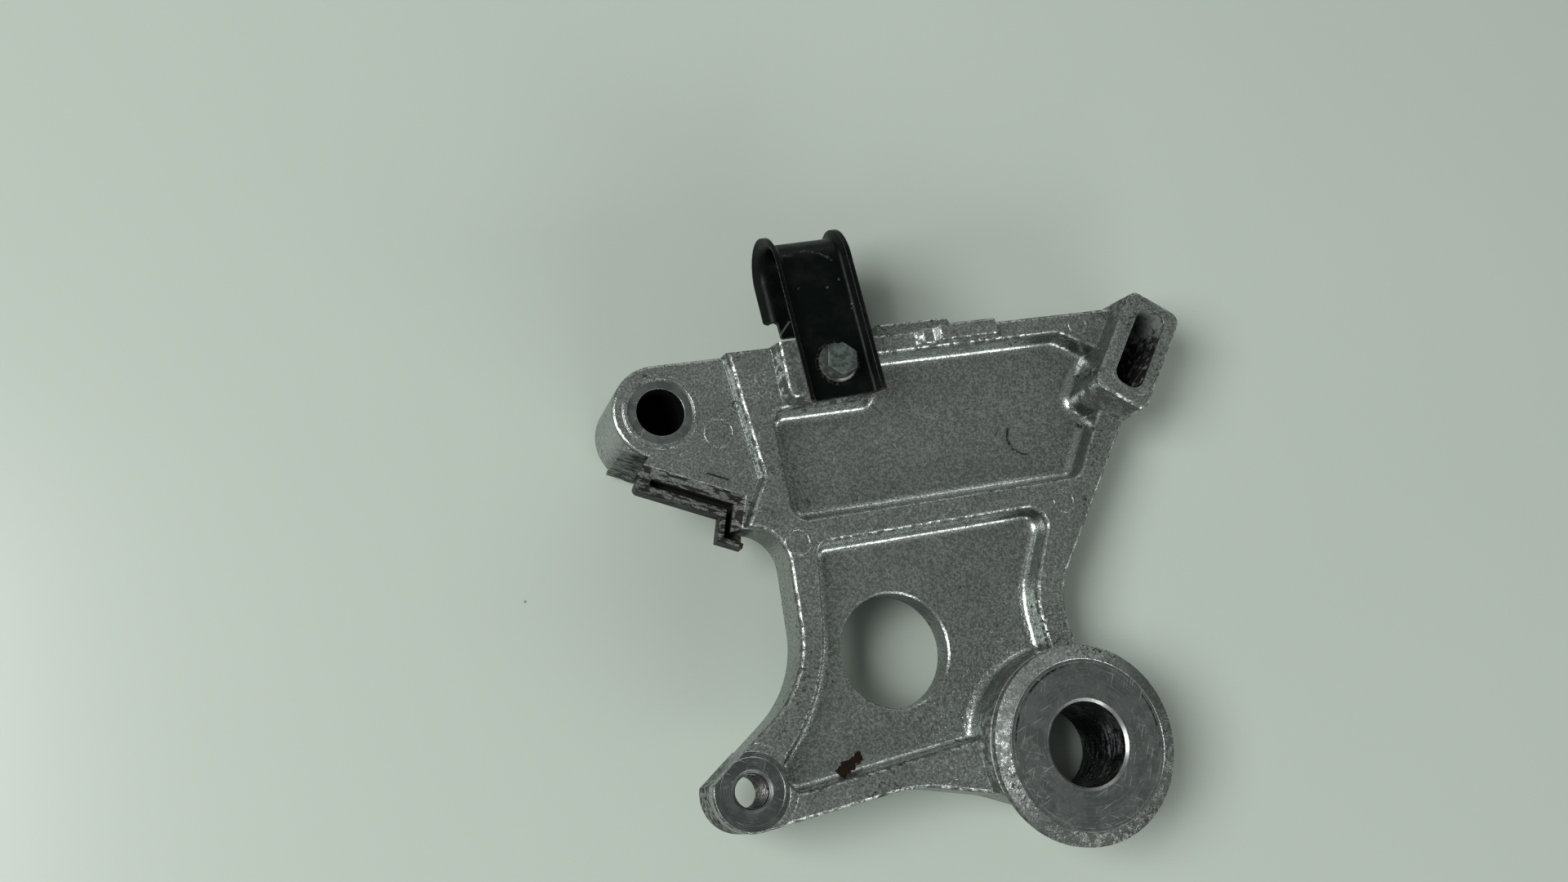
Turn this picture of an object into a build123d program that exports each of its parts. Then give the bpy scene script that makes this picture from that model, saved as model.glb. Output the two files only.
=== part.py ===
from math import atan2, cos, degrees, radians, sin, tan
import os

from build123d import *

# Heights above the back face of the axle boss, with the visible side facing +Z
back_z = 2.3
web_back_z = 4.8
web_z = 10.3
plate_z = 12.3
rim_z = 16.3
pad_z = 20.3
stop_z = 24.6

# Axle boss on the Z axis, standing on the origin
axle_height = 25.0
axle_bore_radius = 11.0
axle_bore_chamfer = 0.8
axle_face_radius = 22.2
axle_ring_radius = 25.9
axle_ring_drop = 1.5
axle_ring_edge = 2.4
axle_barrel_radius = 17.5
axle_cone_height = 11.0
axle_wall_radius = 26.6
axle_foot_radius = 30.4
axle_foot_height = 3.0

# Slide pin boss, upper left, with a squared shoulder beside the rail
slide_x = -92.2
slide_y = 106.4
slide_bore_radius = 6.5
slide_bore_depth = 20.0
slide_boss_radius = 13.0
slide_boss_height = 28.0
slide_spot_radius = 8.8
slide_spot_depth = 0.4
slide_rise_radius = 10.3
slide_rise = 0.35
shoulder_length = 7.5
shoulder_left = 32.0
shoulder_low = 5.0
shoulder_drop = 1.0

# Threaded caliper boss, lower left
caliper_x = -88.6
caliper_y = 6.6
caliper_thread_radius = 4.35
caliper_chamfer_radius = 5.3
caliper_boss_radius = 10.2
caliper_spot_radius = 9.7
caliper_spot_depth = 0.5
caliper_seat_radius = 8.3
caliper_seat_depth = 0.75
caliper_relief_radius = 11.6
caliper_relief_depth = 0.3
caliper_flat_angle = 34.6
caliper_flat_offset = 8.1
caliper_back = 1.0

# Outline of the flat casting
top_edge_y = slide_y + slide_boss_radius
rim_width = 5.2
side_angle = 53.0
waist_y = 39.8
waist_radius = 24.0
waist_lean = 5.5
foot_x = -45.5
foot_y = -1.1
heel_x = -24.0
heel_y = -7.6
arc_top_x = -66.2
arc_top_y = 72.4
arc_foot_x = -68.6
edge_fillet = 1.0

# Stop boss with its blind pocket, upper right
stop_x = 47.0
stop_y = 104.0
stop_half_length = 16.5
stop_half_width = 8.6
stop_corner = 3.0
stop_block_shift = 0.4
stop_cap = 0.7
stop_cap_taper = 45.0
stop_pocket_width = 9.0
stop_pocket_length = 25.6
stop_pocket_depth = 14.0
stop_pocket_corner = 3.6
stop_pocket_draft = 1.5
stop_land_width = 12.7
stop_land_length = 27.2
stop_land_shift = 1.0
stop_land_height = 0.4
stop_left_draft = 5.0
stop_low_draft = 17.0
stop_side_inset = 2.1
stop_foot_radius = 3.0

# Front pockets between the ribs
upper_left_x = -63.4
upper_bottom_y = 71.3
upper_right_x = 22.8
upper_turn_x = 27.5
upper_turn = 8.0
upper_corner = 4.5
upper_draft = 15.0
upper_floor_fillet = 2.8
lower_top_y = 65.0
lower_left_x = -58.6
lower_right_x = 12.0
lower_draft = 12.0
lower_floor_fillet = 2.5

# Shallow recesses in the back of the webs
back_inset = 1.5
light_hole_rim = 3.0

# Lightening hole through the lower web
light_hole_x = -41.3
light_hole_y = 34.0
light_hole_radius = 15.2
light_hole_chamfer = 0.5

# Step down to the slide pin plate
step_top_x = -73.2
step_knee_x = -69.5
step_knee_y = 84.7
step_foot_x = -79.3
step_foot_y = 67.7
step_draft = 8.0

# Pad that carries the hose clamp
clamp_x = -43.9
clamp_y = top_edge_y - 8.1
pad_left = 14.6
pad_right = 9.4
pad_bottom = 7.5
pad_draft = 20.0

# Retaining rail with its Z shaped slot
rail_x = -77.1
rail_y = 79.5
rail_angle = -25.5
rail_z = 10.5
rail_thickness = 5.0
rail_floor = 1.2
rail_slot_width = 2.0
rail_leg_width = 1.4
rail_bar_length = 22.9
rail_leg_length = 7.6
rail_leg_lean = 0.9
rail_foot_length = 5.2
rail_wall = 2.2
rail_thin_wall = 1.3
rail_end = 3.8
rail_end_lean = 1.8
rail_fillet = 0.6
rail_bevel_width = 2.8

# Lugs along the top rim
ledge_left_x = -27.0
ledge_right_x = -4.5
ledge_reach = 4.2
ledge_thickness = 6.0
block_left_x = -11.0
block_right_x = 6.5
block_depth = 4.8
block_ramp = 6.5
block_step = 2.0
block_corner = 0.8
lug_fillet = 0.8

# Faint rings left by the ejector pins
ejector_height = 0.2
ejector_line = 0.6
rim_ejectors = [(-63.6, 66.0, 3.6), (15.7, 65.2, 3.3), (34.4, 115.3, 3.1)]
plate_ejector = (-77.6, 98.7, 4.2)

# Hose clamp strip
strip_thickness = 1.2
strip_flat_half = 8.6
strip_lip_angle = 26.0
strip_lip_height = 2.3
strip_bend_radius = 1.4
strip_bottom = 9.6
loop_outer_radius = 8.5
loop_reach = 29.5
loop_return = 10.5
loop_tip = 5.4
tip_half = 8.0
clamp_twist = 2.0
clamp_hole_clearance = 0.3

# Flange bolt that holds the clamp
bolt_radius = 3.0
bolt_flange_radius = 5.45
bolt_flange_height = 1.4
bolt_flange_edge = 0.5
bolt_head_flats = 8.0
bolt_head_height = 2.8
bolt_crown = 0.5
bolt_turn = 18.0
bolt_point = 0.6
bolt_length = 13.0
bolt_thread_clearance = 0.05
bolt_hole_depth = 14.0


def rail_plane(height):
    """Plane at a height, with X along the retaining rail's slot."""
    along = (cos(radians(rail_angle)), sin(radians(rail_angle)), 0)
    return Plane(origin=(rail_x, rail_y, height), x_dir=along, z_dir=(0, 0, 1))


def stop_plane(height):
    """Plane at a height, centred on the stop boss, with X along its pocket."""
    along = (cos(radians(side_angle)), sin(radians(side_angle)), 0)
    return Plane(origin=(stop_x, stop_y, height), x_dir=along, z_dir=(0, 0, 1))


def block_plane(height):
    """Plane at a height, centred on the block round the stop pocket, which reaches lower."""
    centre = stop_plane(height).from_local_coords(Vector(-stop_block_shift, 0))
    return Plane(origin=centre, x_dir=stop_plane(height).x_dir, z_dir=(0, 0, 1))


def ring(x, y, radius, height):
    """Thin raised ring standing a little proud of a flat at a height."""
    with BuildPart(mode=Mode.PRIVATE) as raised:
        with BuildSketch(Plane.XY.offset(height - 1)):
            with Locations((x, y)):
                Circle(radius)
                Circle(radius - ejector_line, mode=Mode.SUBTRACT)
        extrude(amount=1 + ejector_height)
    return raised.part


def polar(angle, radius):
    """Offset from a centre at an angle from +X."""
    return Vector(radius * cos(radians(angle)), radius * sin(radians(angle)))


# Corners of the outline that depend on several sizes
stop_centre = Vector(stop_x, stop_y)
side_offset = stop_half_width - stop_side_inset
side_top = stop_centre + polar(side_angle - 90, side_offset)
side_bottom_x = side_top.X - (side_top.Y - waist_y) / tan(radians(side_angle))
caliper_centre = Vector(caliper_x, caliper_y)
flat_foot = caliper_centre + polar(caliper_flat_angle + 90, caliper_flat_offset)
flat_half = (caliper_boss_radius**2 - caliper_flat_offset**2) ** 0.5
flat_corner = flat_foot - polar(caliper_flat_angle, flat_half)
arc_foot_y = flat_foot.Y + (arc_foot_x - flat_foot.X) * tan(radians(caliper_flat_angle))
caliper_low = caliper_centre + polar(-87, caliper_boss_radius)
caliper_left = caliper_centre + polar(-150, caliper_boss_radius)
barrel_low = polar(-122, axle_barrel_radius)
rail_tip = rail_plane(0).from_local_coords(Vector(rail_leg_lean, -rail_leg_length))
rail_start = rail_plane(0).from_local_coords(Vector(-rail_bar_length - rail_end, 0))
rail_root = rail_plane(0).from_local_coords(Vector(-rail_bar_length - rail_end + rail_end_lean, 5.5))

# Casting outline, from the top edge clockwise
with BuildSketch() as outline:
    with BuildLine():
        Polyline((slide_x, top_edge_y), (stop_x, top_edge_y), (side_top.X, side_top.Y))
        FilletPolyline(
            (side_top.X, side_top.Y),
            (side_bottom_x, waist_y),
            (side_bottom_x + waist_lean, 0),
            radius=waist_radius,
        )
        Polyline((side_bottom_x + waist_lean, 0), (barrel_low.X, barrel_low.Y))
        FilletPolyline(
            (barrel_low.X, barrel_low.Y),
            (heel_x, heel_y),
            (foot_x, foot_y),
            (caliper_low.X, caliper_low.Y),
            radius=[16, 38],
        )
        ThreePointArc(
            (caliper_low.X, caliper_low.Y),
            (caliper_left.X, caliper_left.Y),
            (flat_corner.X, flat_corner.Y),
        )
        FilletPolyline(
            (flat_corner.X, flat_corner.Y),
            (arc_foot_x, arc_foot_y),
            (arc_top_x, arc_top_y),
            (rail_tip.X, rail_tip.Y),
            radius=[28, 11],
        )
        Polyline(
            (rail_tip.X, rail_tip.Y),
            (rail_x, rail_y),
            (rail_start.X, rail_start.Y),
            (rail_root.X, rail_root.Y),
            (slide_x - slide_boss_radius / 2, slide_y),
            (slide_x, top_edge_y),
        )
    make_face()

# Edge of the pocket above the cross rib
pad_right_x = clamp_x + pad_right
pad_foot_y = clamp_y - pad_bottom
with BuildSketch() as upper_edge:
    with BuildLine():
        FilletPolyline(
            (upper_left_x, upper_bottom_y),
            (upper_right_x, upper_bottom_y),
            (stop_x - 3.3, stop_y + 1),
            (upper_turn_x, top_edge_y - rim_width),
            (pad_right_x + 1.5, top_edge_y - rim_width),
            (pad_right_x + 1.5, pad_foot_y - 1.5),
            (upper_left_x, pad_foot_y - 1.5),
            close=True,
            radius=[upper_corner, upper_corner, 3, upper_turn, 2.5, 3.5, upper_corner],
        )
    make_face()

# Edge of the pocket around the lightening hole
with BuildSketch() as lower_edge:
    with BuildLine():
        FilletPolyline(
            (lower_left_x, lower_top_y),
            (lower_right_x, lower_top_y),
            (0.2, 41.5),
            (1.2, 0),
            (-25, 6.8),
            (-79.4, 3.2),
            (-79.8, 11.5),
            (-64.0, 27.9),
            close=True,
            radius=[4, 5, 22, 3, 3, 4.5, 3, 50],
        )
    make_face()

# Stop boss: an upright block with drafted walls towards the web
stop_rise = stop_z - stop_cap - web_z
stop_low_run = stop_rise * tan(radians(stop_low_draft))
stop_left_run = stop_rise * tan(radians(stop_left_draft))
with BuildPart() as stop_walls:
    with BuildSketch(block_plane(stop_z - stop_cap)):
        RectangleRounded(2 * stop_half_length, 2 * stop_half_width, stop_corner)
    with BuildSketch(block_plane(web_z)):
        with Locations((-stop_low_run / 2, (stop_left_run + stop_side_inset) / 2)):
            RectangleRounded(
                2 * stop_half_length + stop_low_run,
                2 * stop_half_width + stop_left_run - stop_side_inset,
                stop_corner,
            )
    loft()

with BuildPart() as stop_boss:
    add(stop_walls.part)
    with BuildSketch(block_plane(back_z)):
        RectangleRounded(2 * stop_half_length, 2 * stop_half_width, stop_corner)
    extrude(amount=stop_z - stop_cap - back_z)
    with BuildSketch(block_plane(stop_z - stop_cap)):
        RectangleRounded(2 * stop_half_length, 2 * stop_half_width, stop_corner)
    extrude(amount=stop_cap, taper=stop_cap_taper)
    with BuildSketch(stop_plane(stop_z)):
        with Locations((0, -stop_land_shift)):
            RectangleRounded(stop_land_length, stop_land_width, stop_pocket_corner)
    extrude(amount=stop_land_height)

# Rounded foot of the stop boss, where it stands in the corner of the upper pocket
with BuildPart() as stop_foot:
    add(stop_walls.part)
    with BuildSketch(block_plane(web_z)):
        Rectangle(4 * stop_half_length, 6 * stop_half_width)
    extrude(amount=-stop_foot_radius)
    foot_edges = [
        edge
        for edge in stop_foot.edges().filter_by_position(Axis.Z, web_z - 0.01, web_z + 0.01)
        if (edge.center() - stop_centre - Vector(0, 0, web_z)).length < 1.4 * stop_half_length
    ]
    fillet(foot_edges, radius=stop_foot_radius)
    with BuildSketch(Plane.XY.offset(web_z - stop_foot_radius)):
        add(upper_edge.sketch)
    extrude(amount=2 * stop_foot_radius, mode=Mode.INTERSECT)

# Front pockets, cut down to the webs
with BuildPart() as upper_pocket:
    with BuildSketch(Plane.XY.offset(rim_z)):
        add(upper_edge.sketch)
    extrude(amount=web_z - rim_z, taper=upper_draft)
    fillet(upper_pocket.edges().group_by(Axis.Z)[0], radius=upper_floor_fillet)

with BuildPart() as lower_pocket:
    with BuildSketch(Plane.XY.offset(rim_z)):
        add(lower_edge.sketch)
    extrude(amount=web_z - rim_z, taper=lower_draft)
    fillet(lower_pocket.edges().group_by(Axis.Z)[0], radius=lower_floor_fillet)

axle_ring_top = axle_height - axle_ring_drop

# The flared wall that carries the axle boss ring above the webs
with BuildPart() as axle_wall:
    with BuildSketch(Plane.XZ):
        with BuildLine():
            Polyline(
                (axle_wall_radius, web_z + axle_foot_height),
                (axle_wall_radius - 0.4, axle_ring_top - axle_ring_edge),
                (axle_bore_radius, axle_ring_top - axle_ring_edge),
                (axle_bore_radius, back_z),
                (axle_foot_radius, back_z),
                (axle_foot_radius, web_z),
            )
            ThreePointArc(
                (axle_foot_radius, web_z),
                (axle_wall_radius + 0.9, web_z + 0.9),
                (axle_wall_radius, web_z + axle_foot_height),
            )
        make_face()
    revolve(axis=Axis.Z)
    with BuildSketch(Plane.XY):
        add(outline.sketch)
    extrude(amount=axle_height, mode=Mode.INTERSECT)

# Pad that lifts the hose clamp above the rim
with BuildPart() as clamp_pad:
    with BuildSketch(Plane.XY.offset(pad_z)):
        with BuildLine():
            FilletPolyline(
                (clamp_x - pad_left, clamp_y - pad_bottom),
                (clamp_x + pad_right, clamp_y - pad_bottom),
                (clamp_x + pad_right, top_edge_y + 2),
                (clamp_x - pad_left, top_edge_y + 2),
                close=True,
                radius=2,
            )
        make_face()
    extrude(amount=rim_z - 2 - pad_z, taper=-pad_draft)
    fillet(clamp_pad.edges().group_by(Axis.Z)[-1], radius=edge_fillet)
    with BuildSketch(Plane.XY):
        add(outline.sketch)
    extrude(amount=pad_z, mode=Mode.INTERSECT)

# Rail wall around the Z shaped slot
leg_foot = -rail_leg_length - rail_slot_width
with BuildPart() as rail:
    with BuildSketch(rail_plane(rail_z)):
        with BuildLine():
            Polyline(
                (-rail_bar_length - rail_end + 1, 2),
                (-rail_bar_length - rail_end, -rail_slot_width - rail_wall),
                (-rail_leg_width - rail_thin_wall, -rail_slot_width - rail_wall),
                (rail_leg_lean - rail_leg_width - rail_thin_wall, leg_foot - rail_thin_wall),
                (rail_foot_length, leg_foot - rail_thin_wall),
                (rail_foot_length, -rail_leg_length - 1),
                (2, 2),
                close=True,
            )
        make_face()
    extrude(amount=-rail_thickness)
    fillet(rail.edges().filter_by(Axis.Z).sort_by(Axis.X)[0], radius=1.5)
    fillet(rail.faces().sort_by(Axis.Z)[-1].edges(), radius=rail_fillet)
    with BuildSketch(rail_plane(rail_z)):
        with BuildLine():
            FilletPolyline(
                (-rail_bar_length, 1),
                (-rail_bar_length, -rail_slot_width),
                (-rail_leg_width, -rail_slot_width),
                (rail_leg_lean - rail_leg_width, leg_foot),
                (rail_foot_length, leg_foot),
                (rail_foot_length + 3, -rail_leg_length),
                (rail_foot_length, 2),
                (-rail_leg_width, 2),
                close=True,
                radius=[0, 0.8, 0.4, 0.4, 0, 0, 0, 0],
            )
        make_face()
    extrude(amount=rail_floor - rail_thickness, mode=Mode.SUBTRACT)

# Lugs on the top rim: a low ledge and a taller block with a stepped ramp
with BuildPart() as top_lugs:
    with BuildSketch(Plane.XY.offset(plate_z)):
        with BuildLine():
            Polyline(
                (ledge_left_x, top_edge_y - 1),
                (ledge_left_x + 0.8, top_edge_y + ledge_reach),
                (ledge_right_x, top_edge_y + ledge_reach),
                (ledge_right_x + 1.5, top_edge_y - 1),
                close=True,
            )
        make_face()
    extrude(amount=-ledge_thickness)
    fillet(top_lugs.edges().filter_by(Axis.X).sort_by(Axis.Z)[-1], radius=lug_fillet)
    with BuildSketch(Plane.XZ.offset(-top_edge_y)):
        with BuildLine():
            FilletPolyline(
                (block_left_x - block_ramp, rim_z - 2),
                (block_left_x - block_ramp, rim_z),
                (block_left_x - block_ramp * 0.7, rim_z + block_step),
                (block_left_x - block_ramp * 0.25, rim_z + block_step),
                (block_left_x, pad_z),
                (block_right_x, pad_z),
                (block_right_x, rim_z - 2),
                close=True,
                radius=[0, 0.4, 0.8, 0.8, 0.8, 0.8, 0],
            )
        make_face()
    extrude(amount=block_depth)
    fillet(top_lugs.edges().filter_by(Axis.Z).sort_by(Axis.X)[-2:], radius=block_corner)

with BuildPart() as bracket_casting:
    with BuildSketch(Plane.XY.offset(back_z)):
        add(outline.sketch)
    extrude(amount=rim_z - back_z)
    # Slide pin plate, one step below the rim
    with BuildSketch(Plane.XY.offset(plate_z)):
        with BuildLine():
            Polyline(
                (step_top_x, top_edge_y + 5),
                (step_knee_x, step_knee_y),
                (step_foot_x, step_foot_y),
                (slide_x - 30, step_foot_y),
                (slide_x - 30, top_edge_y + 5),
                close=True,
            )
        make_face()
    extrude(amount=rim_z - plate_z + 1, taper=-step_draft, mode=Mode.SUBTRACT)
    add(upper_pocket.part, mode=Mode.SUBTRACT)
    add(lower_pocket.part, mode=Mode.SUBTRACT)
    rim_edges = bracket_casting.edges().filter_by_position(Axis.Z, rim_z - 0.01, rim_z + 0.01)
    fillet(rim_edges, radius=edge_fillet)
    # Shallow relief around the threaded boss
    with BuildSketch(Plane.XY.offset(rim_z)):
        with Locations((caliper_x, caliper_y)):
            Circle(caliper_relief_radius)
    extrude(amount=-caliper_relief_depth, mode=Mode.SUBTRACT)
    # Slide pin boss, reaching far behind the plate
    with BuildSketch(Plane.XY.offset(plate_z)):
        with Locations((slide_x, slide_y)):
            Circle(slide_boss_radius)
    extrude(amount=-slide_boss_height)
    fillet(
        bracket_casting.edges().filter_by_position(Axis.Z, plate_z - 0.01, plate_z + 0.01)
        .filter_by(GeomType.CIRCLE).sort_by(Axis.X)[0],
        radius=edge_fillet,
    )
    with BuildSketch(rail_plane(plate_z - shoulder_drop)):
        with Locations((-shoulder_left, shoulder_low)):
            Rectangle(shoulder_length, slide_boss_radius, align=(Align.MIN, Align.MIN))
    extrude(amount=shoulder_drop - slide_boss_height)
    # The slide pin boss stands a little proud of the plate
    with BuildSketch(Plane.XY.offset(plate_z)):
        with Locations((slide_x, slide_y)):
            Circle(slide_rise_radius)
            Circle(slide_spot_radius, mode=Mode.SUBTRACT)
    extrude(amount=slide_rise, taper=40)
    # Bevel from the plate down to the rail
    with BuildSketch(rail_plane(rail_z)):
        with BuildLine():
            Polyline(
                (-rail_bar_length - rail_end, 0),
                (0, 0),
                (rail_leg_lean, -rail_leg_length),
                (0, -rail_leg_length - 2),
                (-20, -rail_leg_length - 2),
                (-rail_bar_length - rail_end, -8),
                close=True,
            )
        make_face()
    bevel_angle = degrees(atan2(rail_bevel_width, plate_z - rail_z))
    extrude(amount=plate_z - rail_z + 0.3, taper=-bevel_angle, mode=Mode.SUBTRACT)
    add(rail.part)
    # Threaded boss, standing a little proud at the back
    with BuildSketch(Plane.XY.offset(caliper_back)):
        with Locations((caliper_x, caliper_y)):
            Circle(caliper_boss_radius)
        with Locations(Location((flat_foot.X, flat_foot.Y), caliper_flat_angle)):
            Rectangle(30, 10, align=(Align.CENTER, Align.MIN), mode=Mode.SUBTRACT)
    extrude(amount=web_z - caliper_back)
    add(clamp_pad.part)
    add(stop_boss.part)
    add(stop_foot.part)
    add(top_lugs.part)
    add(axle_wall.part)
    # Axle boss: barrel, cone and overhanging ring
    with BuildSketch(Plane.XZ):
        with BuildLine():
            Polyline(
                (0, 0),
                (axle_barrel_radius, 0),
                (axle_barrel_radius, axle_ring_top - axle_ring_edge - axle_cone_height),
                (axle_ring_radius, axle_ring_top - axle_ring_edge),
                (axle_ring_radius, axle_ring_top),
                (axle_face_radius, axle_height),
                (0, axle_height),
                close=True,
            )
        make_face()
    revolve(axis=Axis.Z)
    # Recesses behind the webs, clear of the bosses
    with BuildSketch(Plane.XY.offset(back_z)):
        offset(upper_edge.sketch, amount=-back_inset, mode=Mode.ADD)
        offset(lower_edge.sketch, amount=-back_inset, mode=Mode.ADD)
        with Locations(Location((stop_x, stop_y), side_angle)):
            Rectangle(
                2 * (stop_half_length + back_inset),
                2 * (stop_half_width + back_inset),
                mode=Mode.SUBTRACT,
            )
        Circle(axle_foot_radius, mode=Mode.SUBTRACT)
        with Locations((caliper_x, caliper_y)):
            Circle(caliper_boss_radius + back_inset, mode=Mode.SUBTRACT)
        with Locations((light_hole_x, light_hole_y)):
            Circle(light_hole_radius + light_hole_rim, mode=Mode.SUBTRACT)
    extrude(amount=web_back_z - back_z, taper=upper_draft, mode=Mode.SUBTRACT)
    for mark_x, mark_y, mark_radius in rim_ejectors:
        add(ring(mark_x, mark_y, mark_radius, rim_z))
    add(ring(*plate_ejector, plate_z))
    # Lightening hole
    with Locations((light_hole_x, light_hole_y, web_z)):
        Hole(light_hole_radius)
    light_edges = bracket_casting.edges().filter_by(GeomType.CIRCLE).filter_by(
        lambda edge: abs(edge.radius - light_hole_radius) < 0.01
    )
    chamfer(light_edges, length=light_hole_chamfer)
    # Axle bore with a chamfer at both ends
    with Locations((0, 0, axle_height)):
        Hole(axle_bore_radius)
    bore_edges = bracket_casting.edges().filter_by(GeomType.CIRCLE).filter_by(
        lambda edge: abs(edge.radius - axle_bore_radius) < 0.01
    )
    chamfer(bore_edges, length=axle_bore_chamfer)
    # Blind slide pin bore in its spotface
    with Locations((slide_x, slide_y, plate_z)):
        CounterBoreHole(
            slide_bore_radius, slide_spot_radius, slide_spot_depth, depth=slide_bore_depth
        )
    # Threaded caliper hole with its stepped seat
    with Locations((caliper_x, caliper_y, rim_z)):
        Hole(caliper_spot_radius, depth=caliper_spot_depth)
        Hole(caliper_seat_radius, depth=caliper_seat_depth)
        Hole(caliper_thread_radius, depth=rim_z)
    thread_edges = bracket_casting.edges().filter_by(GeomType.CIRCLE).filter_by(
        lambda edge: abs(edge.radius - caliper_thread_radius) < 0.01
    )
    chamfer(thread_edges, length=caliper_chamfer_radius - caliper_thread_radius)
    # Blind pocket of the stop boss
    with BuildSketch(stop_plane(stop_z + stop_land_height)):
        RectangleRounded(stop_pocket_length, stop_pocket_width, stop_pocket_corner)
    extrude(amount=-stop_pocket_depth, taper=stop_pocket_draft, mode=Mode.SUBTRACT)
    # Blind hole for the clamp bolt
    with Locations((clamp_x, clamp_y, pad_z)):
        Hole(bolt_radius + bolt_thread_clearance, depth=bolt_hole_depth)
bracket_casting.part.label = "bracket_casting"

# Frames of the hose clamp: its foot on the pad, and its side view
clamp_along = (cos(radians(clamp_twist)), sin(radians(clamp_twist)), 0)
clamp_up = (-sin(radians(clamp_twist)), cos(radians(clamp_twist)), 0)
clamp_foot = Plane(origin=(clamp_x, clamp_y, pad_z), x_dir=clamp_along, z_dir=(0, 0, 1))
clamp_side = Plane(origin=(clamp_x, clamp_y, pad_z), x_dir=clamp_up, z_dir=clamp_along)
strip_start = clamp_foot.from_local_coords(Vector(0, -strip_bottom, 0))
strip_section = Plane(origin=strip_start, x_dir=clamp_along, z_dir=Vector(*clamp_up) * -1)

# Hose clamp: a strip with leaning lips, bent into an open loop
loop_radius = loop_outer_radius - strip_thickness
lip_run = strip_lip_height * tan(radians(strip_lip_angle))
lip_side = strip_thickness / cos(radians(strip_lip_angle))
lip_foot = strip_flat_half + lip_side - strip_thickness * tan(radians(strip_lip_angle))
lip_top = strip_thickness + strip_lip_height
lip_edge = strip_flat_half + lip_run + lip_side
lip_end = loop_reach - loop_return
tip_end = lip_end - loop_tip
outer_bend = strip_bend_radius + strip_thickness
with BuildPart() as hose_clamp:
    with BuildLine(clamp_side):
        Line((-strip_bottom, 0), (loop_reach, 0))
        CenterArc((loop_reach, -loop_radius), loop_radius, 90, -180)
        Line((loop_reach, -2 * loop_radius), (tip_end, -2 * loop_radius))
    with BuildSketch(strip_section):
        with BuildLine():
            FilletPolyline(
                (-lip_foot, 0),
                (lip_foot, 0),
                (lip_edge, lip_top),
                (lip_edge - lip_side, lip_top),
                (strip_flat_half, strip_thickness),
                (-strip_flat_half, strip_thickness),
                (lip_side - lip_edge, lip_top),
                (-lip_edge, lip_top),
                close=True,
                radius=[outer_bend, outer_bend, 0, 0, strip_bend_radius, strip_bend_radius, 0, 0],
            )
        make_face()
    sweep()
    # The free end narrows to a tip without lips
    with BuildSketch(clamp_foot.offset(-2 * loop_radius - lip_top - 1)):
        with Locations((0, tip_end - 1)):
            Rectangle(2 * lip_edge + 4, lip_end - tip_end + 5, align=(Align.CENTER, Align.MIN))
        with BuildLine():
            FilletPolyline(
                (-tip_half, tip_end),
                (tip_half, tip_end),
                (tip_half, lip_end),
                (lip_edge + 0.5, lip_end),
                (lip_edge + 0.5, loop_reach),
                (-lip_edge - 0.5, loop_reach),
                (-lip_edge - 0.5, lip_end),
                (-tip_half, lip_end),
                close=True,
                radius=[1, 1, 1.5, 2.2, 0, 0, 2.2, 1.5],
            )
        make_face(mode=Mode.SUBTRACT)
    extrude(amount=lip_top + strip_thickness + 3, mode=Mode.SUBTRACT)
    with Locations(clamp_foot.offset(strip_thickness)):
        Hole(bolt_radius + clamp_hole_clearance, depth=strip_thickness)
hose_clamp.part.label = "hose_clamp"

# Flange bolt, from its shank up to the chamfered hexagon
bolt_top = bolt_flange_height + bolt_head_height
bolt_axis = Axis((clamp_x, clamp_y, 0), (0, 0, 1))
bolt_seat = Plane(origin=(clamp_x, clamp_y, pad_z + strip_thickness), z_dir=(0, 0, 1))
bolt_view = Plane(origin=bolt_seat.origin, x_dir=(1, 0, 0), z_dir=(0, -1, 0))
with BuildPart() as clamp_bolt:
    with BuildSketch(bolt_seat):
        RegularPolygon(bolt_head_flats / 2, 6, major_radius=False, rotation=bolt_turn)
    extrude(amount=bolt_top)
    with BuildSketch(bolt_view):
        with BuildLine():
            Polyline(
                (0, 0),
                (bolt_flange_radius, 0),
                (bolt_flange_radius, bolt_top - bolt_crown),
                (bolt_head_flats / 2 - bolt_crown / 2, bolt_top),
                (0, bolt_top),
                close=True,
            )
        make_face()
    revolve(axis=bolt_axis, mode=Mode.INTERSECT)
    with BuildSketch(bolt_view):
        with BuildLine():
            Polyline(
                (0, -bolt_length),
                (bolt_radius - bolt_point, -bolt_length),
                (bolt_radius, bolt_point - bolt_length),
                (bolt_radius, 0),
                (bolt_flange_radius, 0),
                (bolt_flange_radius, bolt_flange_edge),
                (bolt_head_flats / 2, bolt_flange_height),
                (0, bolt_flange_height),
                close=True,
            )
        make_face()
    revolve(axis=bolt_axis)
clamp_bolt.part.label = "clamp_bolt"

os.makedirs("parts", exist_ok=True)
export_step(bracket_casting.part, "parts/bracket_casting.step")
export_step(hose_clamp.part, "parts/hose_clamp.step")
export_step(clamp_bolt.part, "parts/clamp_bolt.step")
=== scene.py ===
"""Looks of a brake caliper bracket: a silver painted casting with a black hose clamp and its bolt."""

import math
from types import SimpleNamespace

import bmesh
import bpy
from mathutils import Matrix, Vector


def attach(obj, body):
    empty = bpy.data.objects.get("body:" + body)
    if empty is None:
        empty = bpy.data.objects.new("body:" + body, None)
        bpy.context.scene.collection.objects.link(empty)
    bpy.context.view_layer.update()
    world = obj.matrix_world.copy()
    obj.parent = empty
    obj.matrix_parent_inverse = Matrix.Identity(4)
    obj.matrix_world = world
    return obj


MM = 0.001

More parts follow.
